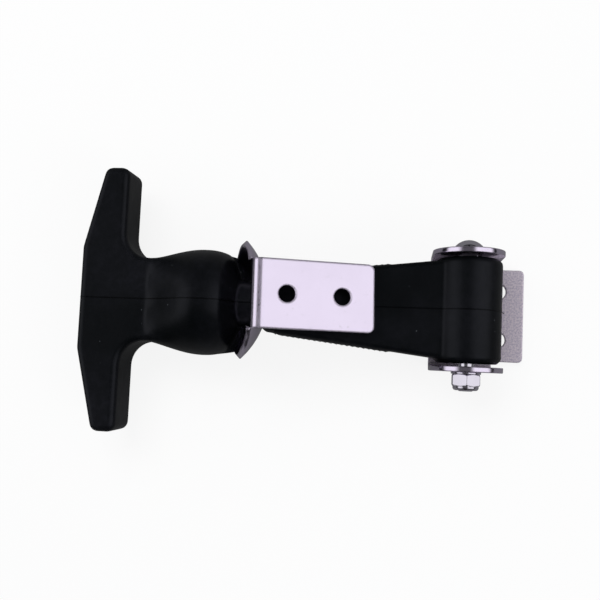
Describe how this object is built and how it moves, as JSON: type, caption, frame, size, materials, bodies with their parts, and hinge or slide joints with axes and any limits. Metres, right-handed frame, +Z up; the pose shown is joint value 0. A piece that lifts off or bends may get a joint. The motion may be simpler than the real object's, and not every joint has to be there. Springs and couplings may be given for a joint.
{
  "type": "rubber draw latch",
  "caption": "Flexible rubber T-handle draw latch: a moulded strap on a bolted hinge bracket, its bulb held in a dished, slotted keeper bracket",
  "frame": {"origin": "On the hinge plate's underside, midway between its two screw holes.", "axes": "+X runs from the T handle to the hinge's free edge, +Y along the pivot bolt towards its head, +Z up off the surface the hinge is screwed to."},
  "size_m": [0.1707, 0.102, 0.047],
  "materials": {
    "strap_rubber": "moulded, semi-matt, near black",
    "bright_plate": "bright zinc plate with fine grain",
    "nylon": "plain nylon ring"
  },
  "bodies": {
    "hinge": {"hinge_bracket": "bright_plate", "pivot_bolt": "bright_plate", "flat_washer": "bright_plate", "lock_nut": "bright_plate", "nut_insert": "nylon"},
    "strap": {"rubber_strap": "strap_rubber"},
    "keeper": {"keeper_bracket": "bright_plate"}
  },
  "joints": [
    {"name": "strap_pivot", "type": "hinge", "parent": "hinge", "child": "strap", "pos_m": [-0.0132, 0, 0.0204], "axis": [0, 1, 0], "range_deg": [0, 170]},
    {"name": "keeper_release", "type": "slide", "parent": "strap", "child": "keeper", "axis": [0.3243, 0.0872, 0.9419], "range_m": [0, 0.035]}
  ]
}
